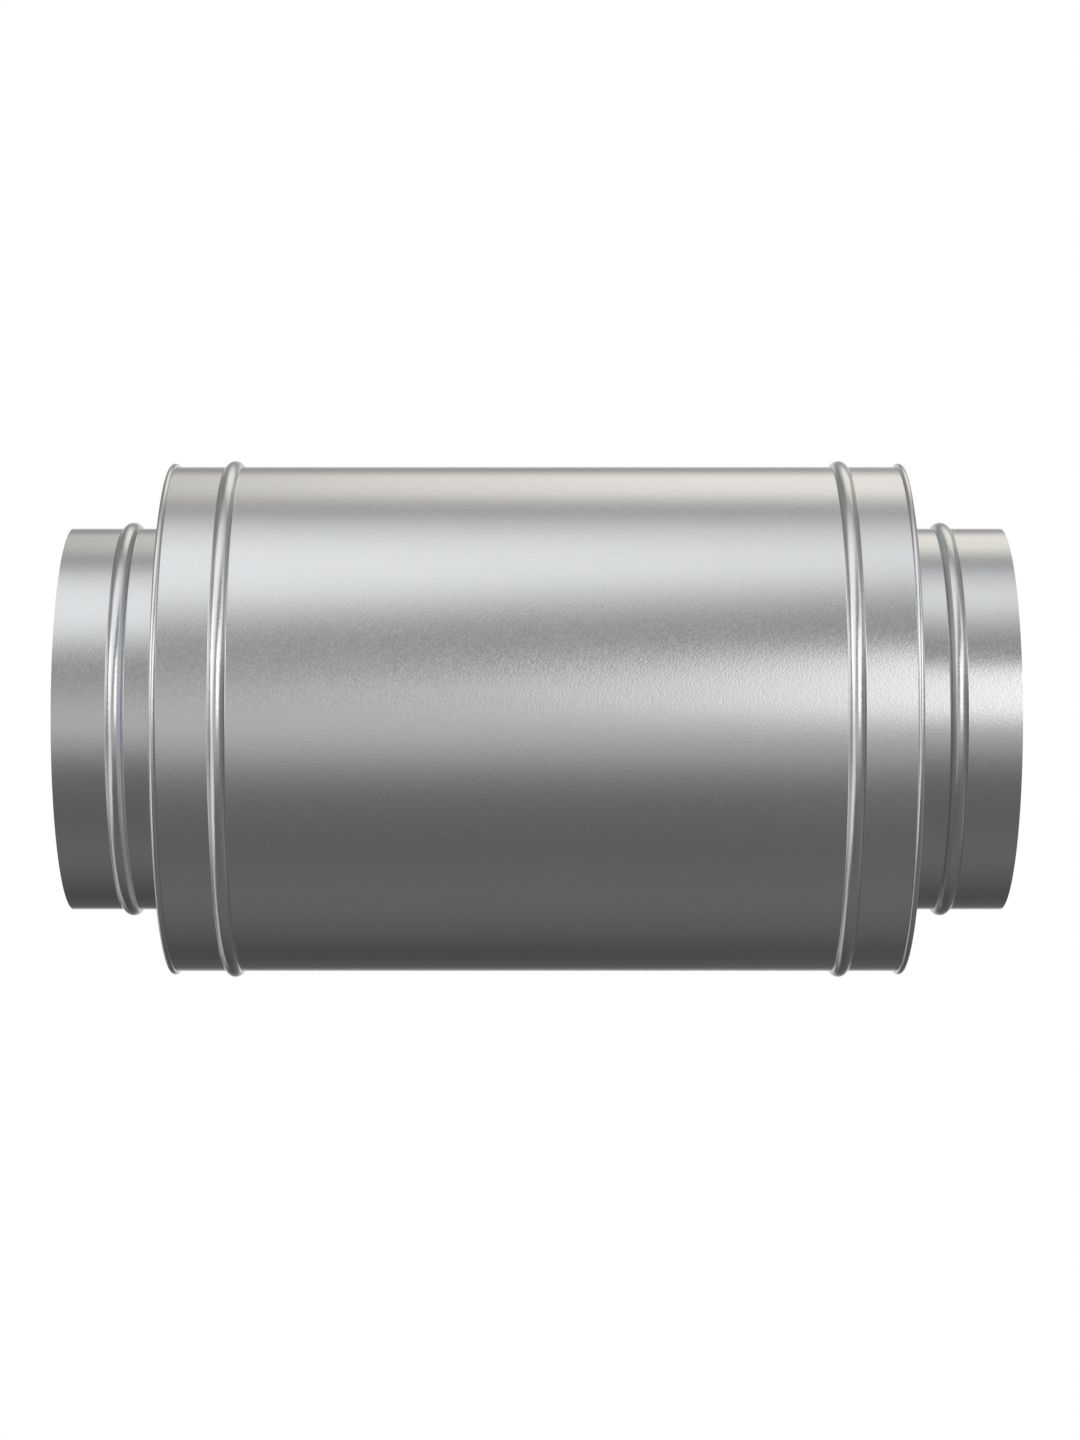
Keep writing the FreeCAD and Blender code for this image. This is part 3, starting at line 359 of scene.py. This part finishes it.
# --------------------------------------------------------------------------
# materials
# --------------------------------------------------------------------------
class Nodes:
    def __init__(self, name):
        self.material = bpy.data.materials.new(name)
        self.material.use_nodes = True
        self.tree = self.material.node_tree
        self.shader = self.tree.nodes["Principled BSDF"]
        self.coord = self.tree.nodes.new("ShaderNodeTexCoord").outputs["Object"]

    def add(self, kind, **values):
        node = self.tree.nodes.new(kind)
        for key, value in values.items():
            if hasattr(node, key):
                setattr(node, key, value)
        return node

    def link(self, a, b):
        self.tree.links.new(a, b)

    def noise(self, scale, detail=2.0, rough=0.5, source=None, stretch=None):
        node = self.add("ShaderNodeTexNoise")
        node.inputs["Scale"].default_value = scale
        node.inputs["Detail"].default_value = detail
        node.inputs["Roughness"].default_value = rough
        where = source or self.coord
        if stretch:
            mapping = self.add("ShaderNodeMapping")
            mapping.inputs["Scale"].default_value = stretch
            self.link(where, mapping.inputs["Vector"])
            where = mapping.outputs["Vector"]
        self.link(where, node.inputs["Vector"])
        return node.outputs["Fac"]

    def cells(self, scale, feature="F1", source=None):
        node = self.add("ShaderNodeTexVoronoi")
        node.feature = feature
        node.inputs["Scale"].default_value = scale
        self.link(source or self.coord, node.inputs["Vector"])
        return node

    def math(self, op, a, b=None, clamp=False):
        node = self.add("ShaderNodeMath")
        node.operation = op
        node.use_clamp = clamp
        for i, value in enumerate((a, b)):
            if value is None:
                continue
            if isinstance(value, (int, float)):
                node.inputs[i].default_value = value
            else:
                self.link(value, node.inputs[i])
        return node.outputs[0]

    def span(self, value, low, high, to_low, to_high, smooth=False):
        node = self.add("ShaderNodeMapRange")
        if smooth:
            node.interpolation_type = "SMOOTHSTEP"
        for key, number in (("From Min", low), ("From Max", high),
                            ("To Min", to_low), ("To Max", to_high)):
            node.inputs[key].default_value = number
        self.link(value, node.inputs["Value"])
        return node.outputs["Result"]

    def blend(self, factor, a, b, mode="MIX"):
        node = self.add("ShaderNodeMix")
        node.data_type = "RGBA"
        node.blend_type = mode
        for key, value in ((0, factor), (6, a), (7, b)):
            if isinstance(value, (int, float)):
                node.inputs[key].default_value = value
            elif isinstance(value, tuple):
                node.inputs[key].default_value = (*value, 1.0)
            else:
                self.link(value, node.inputs[key])
        return node.outputs[2]

    def bump(self, height, strength, distance, before=None):
        node = self.add("ShaderNodeBump")
        node.inputs["Strength"].default_value = strength
        node.inputs["Distance"].default_value = distance
        self.link(height, node.inputs["Height"])
        if before is not None:
            self.link(before, node.inputs["Normal"])
        return node.outputs["Normal"]


def galvanised(name, tint, dull_within=None):
    """Hot-dip galvanised sheet: fine, soft spangle; satin; faint handling marks.

    dull_within: the radius round the axis inside which the sheet is duller and paler.
    """
    m = Nodes(name)
    # spangle: small crystals of slightly different tone and gloss
    crystal = m.cells(420.0)
    crystal_tone = m.add("ShaderNodeSeparateColor")
    m.link(crystal.outputs["Color"], crystal_tone.inputs["Color"])
    tone = crystal_tone.outputs["Red"]
    cloud = m.noise(7.0, 2.0, 0.5)
    grain = m.noise(660.0, 2.0, 0.6)
    shade = m.math("MULTIPLY", m.span(tone, 0.0, 1.0, 0.99, 1.01),
                   m.span(grain, 0.3, 0.7, 0.985, 1.015))
    shade = m.math("MULTIPLY", shade, m.span(cloud, 0.3, 0.7, 0.992, 1.008))
    within = None
    if dull_within:
        axes = m.add("ShaderNodeSeparateXYZ")
        m.link(m.coord, axes.inputs[0])
        y, z = axes.outputs["Y"], axes.outputs["Z"]
        radius = m.math("SQRT", m.math("ADD", m.math("MULTIPLY", y, y), m.math("MULTIPLY", z, z)))
        within = m.span(radius, dull_within - 0.002, dull_within, 1.0, 0.0, smooth=True)
        shade = m.math("MULTIPLY", shade, m.span(within, 0.0, 1.0, 1.0, 1.2))
    value = m.add("ShaderNodeCombineColor")
    for i, c in enumerate(tint):
        m.link(m.math("MULTIPLY", shade, c), value.inputs[i])
    m.link(value.outputs["Color"], m.shader.inputs["Base Color"])
    m.shader.inputs["Metallic"].default_value = 1.0
    # gloss varies crystal by crystal, and a little in broad soft patches
    rough = m.span(grain, 0.34, 0.66, 0.115, 0.245)
    rough = m.math("ADD", rough, m.span(tone, 0.0, 1.0, -0.01, 0.01))
    rough = m.math("ADD", rough, m.span(cloud, 0.25, 0.75, -0.006, 0.008))
    if dull_within:
        rough = m.math("ADD", rough, m.span(within, 0.0, 1.0, 0.0, 0.26))
    m.link(rough, m.shader.inputs["Roughness"])
    # grain: the frosty relief of the zinc
    normal = m.bump(grain, 0.5, 0.00014)
    m.link(normal, m.shader.inputs["Normal"])
    return m.material


zinc = galvanised("galvanised_casing_look", (0.62, 0.63, 0.64))
zinc_caps = galvanised("galvanised_caps_look", (0.615, 0.625, 0.635), dull_within=0.2065)
# the spigots' sheet is a touch darker than the casing's
zinc_spigots = galvanised("galvanised_spigots_look", (0.596, 0.606, 0.616))
casing.data.materials.append(zinc)
for o in caps:
    o.data.materials.append(zinc_caps)
for o in spigots:
    o.data.materials.append(zinc_spigots)

mastic_look = Nodes("duct_mastic_look")
mastic_look.shader.inputs["Roughness"].default_value = 0.62
tone = mastic_look.noise(45.0, 3.0, 0.6)
mastic_look.link(mastic_look.blend(tone, (0.30, 0.31, 0.32), (0.40, 0.41, 0.42)),
                 mastic_look.shader.inputs["Base Color"])
mastic_look.link(mastic_look.bump(mastic_look.noise(260.0, 3.0, 0.6), 0.5, 0.0006),
                 mastic_look.shader.inputs["Normal"])
for o in mastics:
    o.data.materials.append(mastic_look.material)


def assign(node_name, material):
    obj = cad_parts[node_name]
    if not obj.data.materials:
        obj.data.materials.append(material)
    for i in range(len(obj.material_slots)):
        obj.material_slots[i].material = material


tube_look = galvanised("perforated_sheet_look", (0.58, 0.59, 0.60))
assign("perforated_tube", tube_look)
rivet_look = galvanised("rivet_look", (0.66, 0.66, 0.67))
assign("rivets_left", rivet_look)
assign("rivets_right", rivet_look)

tissue = Nodes("glass_tissue_look")
tissue.shader.inputs["Roughness"].default_value = 0.85
fibre = tissue.noise(700.0, 4.0, 0.7)
tissue.link(tissue.blend(fibre, (0.012, 0.012, 0.013), (0.05, 0.05, 0.052)),
            tissue.shader.inputs["Base Color"])
tissue.link(tissue.bump(fibre, 0.6, 0.0004), tissue.shader.inputs["Normal"])
assign("fleece_liner", tissue.material)

wool = Nodes("mineral_wool_look")
wool.shader.inputs["Roughness"].default_value = 0.95
strand = wool.noise(260.0, 5.0, 0.7)
wool.link(wool.blend(strand, (0.42, 0.33, 0.15), (0.72, 0.62, 0.36)),
          wool.shader.inputs["Base Color"])
wool.link(wool.bump(strand, 0.7, 0.002), wool.shader.inputs["Normal"])
assign("wool_mat", wool.material)


# --------------------------------------------------------------------------
# stage: pale floor that fades into white, soft studio surroundings
# --------------------------------------------------------------------------
floor_z = -0.95
ring_verts, ring_faces = [(0.0, 0.0, floor_z)], []
STEPS = 96
for i in range(STEPS):
    a = 2 * math.pi * i / STEPS
    ring_verts.append((4.0 * math.cos(a), 4.0 * math.sin(a), floor_z))
for i in range(STEPS):
    ring_faces.append((0, 1 + i, 1 + (i + 1) % STEPS))
floor = mesh_object("studio_floor", ring_verts, ring_faces, smooth=False)
floor_look = Nodes("floor_look")
floor_look.shader.inputs["Base Color"].default_value = (0.93, 0.93, 0.93, 1.0)
floor_look.shader.inputs["Roughness"].default_value = 0.9
split = floor_look.add("ShaderNodeVectorMath")
split.operation = "LENGTH"
flat = floor_look.add("ShaderNodeVectorMath")
flat.operation = "MULTIPLY"
flat.inputs[1].default_value = (1.0, 1.0, 0.0)
floor_look.link(floor_look.coord, flat.inputs[0])
floor_look.link(flat.outputs["Vector"], split.inputs[0])
fade = floor_look.span(split.outputs["Value"], 0.35, 1.5, 0.55, 0.0, smooth=True)
side = floor_look.add("ShaderNodeNewGeometry")
fade = floor_look.math("MULTIPLY", fade,
                       floor_look.math("SUBTRACT", 1.0, side.outputs["Backfacing"]))
clear = floor_look.add("ShaderNodeBsdfTransparent")
mixer = floor_look.add("ShaderNodeMixShader")
floor_look.link(fade, mixer.inputs[0])
floor_look.link(clear.outputs[0], mixer.inputs[1])
floor_look.link(floor_look.shader.outputs[0], mixer.inputs[2])
floor_look.link(mixer.outputs[0],
                floor_look.tree.nodes["Material Output"].inputs["Surface"])
floor.data.materials.append(floor_look.material)
floor.visible_glossy = False
floor.visible_diffuse = False
floor.visible_shadow = False


class World:
    """Soft boxes painted on the surroundings by direction.

    round_angle: degrees round the duct's axis, 0 in front, 90 overhead, 180
    behind, -90 below. side_angle: degrees towards +X out of that plane.
    """

    def __init__(self):
        world = bpy.data.worlds.new("studio")
        bpy.context.scene.world = world
        world.use_nodes = True
        self.tree = world.node_tree
        self.tree.nodes.clear()
        coord = self.add("ShaderNodeTexCoord")
        parts = self.add("ShaderNodeSeparateXYZ")
        self.link(coord.outputs["Generated"], parts.inputs[0])
        x, y, z = (parts.outputs[i] for i in range(3))
        to_deg = 180.0 / math.pi
        self.round = self.math("MULTIPLY", self.math("ARCTAN2", z, self.math("MULTIPLY", y, -1.0)),
                               to_deg)
        self.side = self.math("MULTIPLY", self.math("ARCSINE", x), to_deg)

    def add(self, kind):
        return self.tree.nodes.new(kind)

    def link(self, a, b):
        self.tree.links.new(a, b)

    def math(self, op, a, b=None):
        node = self.add("ShaderNodeMath")
        node.operation = op
        for i, value in enumerate((a, b)):
            if value is None:
                continue
            if isinstance(value, (int, float)):
                node.inputs[i].default_value = value
            else:
                self.link(value, node.inputs[i])
        return node.outputs[0]

    def ramp(self, value, low, high, stops):
        """Colour by angle: stops of (angle, (r, g, b))."""
        span = self.add("ShaderNodeMapRange")
        span.inputs["From Min"].default_value = low
        span.inputs["From Max"].default_value = high
        self.link(value, span.inputs["Value"])
        node = self.add("ShaderNodeValToRGB")
        node.color_ramp.interpolation = "CARDINAL"
        band = node.color_ramp.elements
        while len(band) > 1:
            band.remove(band[-1])
        for i, (angle, colour) in enumerate(stops):
            at = (angle - low) / (high - low)
            if i == 0:
                band[0].position = at
                stop = band[0]
            else:
                stop = band.new(at)
            stop.color = (*[c / 2 for c in colour], 1.0)
        self.link(span.outputs["Result"], node.inputs["Fac"])
        # a ramp holds no more than 1, so its stops are at half their level
        return self.mix(1.0, node.outputs["Color"], (2.0, 2.0, 2.0), "MULTIPLY")

    def window(self, value, a, b, c, d):
        """0 below a, rising to 1 at b, 1 up to c, falling to 0 at d."""
        up = self.add("ShaderNodeMapRange")
        up.interpolation_type = "SMOOTHSTEP"
        up.inputs["From Min"].default_value = a
        up.inputs["From Max"].default_value = b
        self.link(value, up.inputs["Value"])
        down = self.add("ShaderNodeMapRange")
        down.interpolation_type = "SMOOTHSTEP"
        down.inputs["From Min"].default_value = c
        down.inputs["From Max"].default_value = d
        down.inputs["To Min"].default_value = 1.0
        down.inputs["To Max"].default_value = 0.0
        self.link(value, down.inputs["Value"])
        return self.math("MULTIPLY", up.outputs["Result"], down.outputs["Result"])

    def mix(self, factor, a, b, mode="MIX"):
        node = self.add("ShaderNodeMix")
        node.data_type = "RGBA"
        node.blend_type = mode
        node.clamp_result = False
        for key, value in ((0, factor), (6, a), (7, b)):
            if isinstance(value, (int, float)):
                node.inputs[key].default_value = value
            elif isinstance(value, tuple):
                node.inputs[key].default_value = (*value, 1.0)
            else:
                self.link(value, node.inputs[key])
        return node.outputs[2]


def grey(level, warm=0.0):
    """A level with a slight warm (positive) or cool (negative) cast."""
    return (level * (1 + warm), level, level * (1 - warm))


w = World()


def add_box(under, rounds, sides, level, across=None):
    """Lay a soft box over the surroundings, hiding what lies behind it.

    rounds and sides: the four angles where it starts, is full, is full, ends.
    """
    cover = w.window(w.round, *rounds) if rounds else None
    if sides:
        wide = w.window(across or w.side, *sides)
        cover = w.math("MULTIPLY", cover, wide) if cover is not None else wide
    return w.mix(cover, under, level)


# the room: dim below and behind, a grey wall in front, a paler ceiling
room = w.ramp(w.round, -180.0, 180.0, [
    (-180, grey(0.20)), (-166, grey(0.15)), (-150, grey(0.115)), (-134, grey(0.094)),
    (-118, grey(0.125)), (-100, grey(0.17, -0.012)), (-84, grey(0.185, -0.012)),
    (-62, grey(0.168, -0.016)), (-46, grey(0.18, -0.02)), (-32, grey(0.23)), (-22, grey(0.36)),
    (-10, grey(0.57, 0.014)), (0, grey(0.63, 0.014)), (16, grey(0.495, 0.012)),
    (34, grey(0.40)), (52, grey(0.42)), (66, grey(0.53)), (82, grey(0.70)), (94, grey(0.72)),
    (106, grey(0.515)), (118, grey(0.345, 0.02)), (140, grey(0.305, 0.03)), (166, grey(0.32, 0.02)),
])
# the room is a little lighter on its right, below the horizon
right_room = w.ramp(w.round, -180.0, 180.0, [
    (-180, grey(0.24)), (-150, grey(0.18)), (-110, grey(0.185)), (-60, grey(0.205, -0.01)),
    (-30, grey(0.28)), (-14, grey(0.48)), (0, grey(0.52)), (30, grey(0.44)), (60, grey(0.42)),
    (84, grey(0.59)), (110, grey(0.38)), (132, grey(0.36)), (150, grey(0.48)), (168, grey(0.80)),
])
across = w.add("ShaderNodeMapRange")
across.inputs["From Min"].default_value = 0.0
across.inputs["From Max"].default_value = 50.0
w.link(w.side, across.inputs["Value"])
colour = w.mix(across.outputs["Result"], room, right_room)
# and darker again far out to the right
far_right = w.ramp(w.round, -180.0, 180.0, [
    (-180, grey(0.56)), (-165, grey(0.46)), (-150, grey(0.38)), (-120, grey(0.30)),
    (-90, grey(0.24)), (-60, grey(0.23)), (-30, grey(0.24)), (-14, grey(0.25)), (4, grey(0.27)),
    (30, grey(0.31)), (60, grey(0.34)), (76, grey(0.42)), (92, grey(0.46)), (106, grey(0.44)),
    (120, grey(0.42)), (136, grey(0.54)), (150, grey(0.84)), (164, grey(1.05)), (178, grey(1.05)),
])
colour = w.mix(w.window(w.side, 44.0, 60.0, 200.0, 201.0), colour, far_right)
# soft box overhead, its right edge slanting
slant = w.math("SUBTRACT", w.side, w.math("MULTIPLY", w.math("SUBTRACT", w.round, 62.0), 0.8))
overhead = w.ramp(w.side, -90.0, 90.0, [
    (-90, grey(1.28, -0.006)), (-10, grey(1.25, -0.006)), (10, grey(1.095, -0.006)),
    (90, grey(1.06, -0.006)),
])
# its far edge leans back a little on the left
back = w.math("ADD", w.round, w.math("MULTIPLY", w.math("MAXIMUM", w.math("MINIMUM", w.side, 0.0), -20.0), 0.2))
cover = w.math("MULTIPLY", w.window(back, -16.0, 12.0, 75.0, 107.5),
               w.window(slant, -170.0, -160.0, -8.0, 20.0))
colour = w.mix(cover, colour, overhead)
# large window at the left
window = w.ramp(w.round, -180.0, 180.0, [
    (-180, grey(0.60)), (-165, grey(0.52)), (-150, grey(0.50)), (-135, grey(0.62)),
    (-120, grey(0.66)), (-105, grey(0.62)), (-90, grey(0.72)), (-75, grey(0.90)), (-60, grey(0.98)),
    (-40, grey(0.98)), (-20, grey(0.92)), (-8, grey(1.02)), (4, grey(1.36)), (18, grey(1.66)),
    (46, grey(1.80)), (62, grey(1.66)), (76, grey(1.06)), (90, grey(0.52)), (104, grey(0.34)),
    (120, grey(0.30)), (136, grey(0.36)), (150, grey(0.54)), (165, grey(1.06)), (178, grey(0.92)),
])
# its near edge is not straight: further left overhead and below, nearer low behind
edge = w.ramp(w.round, -180.0, 180.0, [
    (-180, grey(0.51)), (-165, grey(0.40)), (-150, grey(0.14)), (-135, grey(0.24)),
    (-120, grey(0.36)), (-105, grey(0.45)), (-90, grey(0.46)), (-75, grey(0.42)),
    (-60, grey(0.37)), (-45, grey(0.34)), (-30, grey(0.26)), (-15, grey(0.32)), (0, grey(0.41)),
    (10, grey(0.45)), (30, grey(0.42)), (50, grey(0.44)), (96, grey(0.50)), (116, grey(0.58)),
    (172, grey(0.50)),
])
near = w.math("ADD", w.side, w.math("MULTIPLY", edge, 100.0))
colour = w.mix(w.window(near, -300.0, -299.0, -8.0, 8.0), colour, window)
# beyond the window's far edge
far_left = w.ramp(w.round, -180.0, 180.0, [
    (-180, grey(0.40)), (-60, grey(0.35)), (-20, grey(0.39)), (10, grey(0.44)), (70, grey(0.40)),
    (90, grey(0.32)), (140, grey(0.38)), (178, grey(0.39)),
])
far_edge = w.math("SUBTRACT", w.side, w.math("MULTIPLY", w.window(w.round, -25.0, 10.0, 80.0, 100.0), -3.0))
colour = w.mix(w.window(far_edge, -300.0, -299.0, -77.0, -63.0), colour, far_left)
# light right of the camera, a little above it, and a tall one beyond it
colour = add_box(colour, (30, 50, 72, 98), (33, 45, 58, 68), grey(1.14))
# its left end is rounded, and it fades towards that end
rise = w.math("SUBTRACT", w.round, 13.0)
rise = w.math("MAXIMUM", rise, w.math("MULTIPLY", rise, -0.6))
limit = w.ramp(w.side, -90.0, 90.0, [
    (-10, grey(0.08)), (-6, grey(0.13)), (-1.5, grey(0.20)), (0, grey(0.25)), (3.3, grey(0.322)),
    (7, grey(0.385)), (10, grey(0.40)), (20, grey(0.46)), (30, grey(0.54)), (45, grey(0.80)),
])
lean = w.math("SUBTRACT", w.math("SUBTRACT", w.math("MULTIPLY", limit, 100.0), 20.0), rise)
key_level = w.ramp(w.side, -90.0, 90.0, [
    (-12, grey(0.60)), (-5, grey(0.68)), (0, grey(0.81)), (3.6, grey(0.97)), (5.5, grey(1.21)),
    (7, grey(1.58, 0.010)), (9, grey(1.79, 0.014)), (15, grey(1.83, 0.016)), (28, grey(1.74, 0.016)),
    (42, grey(1.48, 0.014)),
])
key_end = w.math("SUBTRACT", w.side, w.math("MULTIPLY", w.math("MAXIMUM", w.round, 0.0), 0.4))
key = w.math("MULTIPLY", w.window(lean, -6.0, 6.0, 400.0, 401.0),
             w.window(key_end, -190.0, -189.0, 31.0, 46.0))
key = w.math("MULTIPLY", key, w.window(w.round, -9.0, 8.0, 44.0, 56.0))
colour = w.mix(key, colour, key_level)
# warm light high behind
colour = add_box(colour, (105, 127, 141, 159), (-18, 4, 18, 32), (1.183, 1.130, 1.044))
# cards behind the object and beyond its right end
behind = w.math("ABSOLUTE", w.round)
colour = w.mix(w.math("MULTIPLY", w.window(behind, 160.0, 172.0, 200.0, 210.0),
                      w.window(w.side, -26.0, -14.0, 14.0, 26.0)), colour, grey(0.85))
colour = add_box(colour, None, (78, 87, 95, 100), grey(0.30))

background = w.add("ShaderNodeBackground")
w.link(colour, background.inputs["Color"])
background.inputs["Strength"].default_value = 1.0
white = w.add("ShaderNodeBackground")
white.inputs["Color"].default_value = (1.0, 1.0, 1.0, 1.0)
white.inputs["Strength"].default_value = 1.0
path = w.add("ShaderNodeLightPath")
pick = w.add("ShaderNodeMixShader")
w.link(path.outputs["Is Camera Ray"], pick.inputs[0])
w.link(background.outputs[0], pick.inputs[1])
w.link(white.outputs[0], pick.inputs[2])
out = w.add("ShaderNodeOutputWorld")
w.link(pick.outputs[0], out.inputs["Surface"])

# --------------------------------------------------------------------------
# camera: square to the duct at mid-length, as in the photo
# --------------------------------------------------------------------------
camera = bpy.data.objects.new("camera", bpy.data.cameras.new("camera"))
bpy.context.scene.collection.objects.link(camera)
camera.location = (0.0, -3.102, 0.0)
camera.rotation_euler = (math.radians(90.0), 0.0, 0.0)
camera.data.lens = 93.95
camera.data.sensor_width = 36.0
camera.data.shift_x = 3.2 / 1440.0
camera.data.shift_y = -1.02 / 1440.0
camera.data.clip_start = 0.05
camera.data.clip_end = 100.0
bpy.context.scene.camera = camera

view = bpy.context.scene.view_settings
view.view_transform = "Standard"
view.look = "None"
view.exposure = 0.0
view.gamma = 1.0
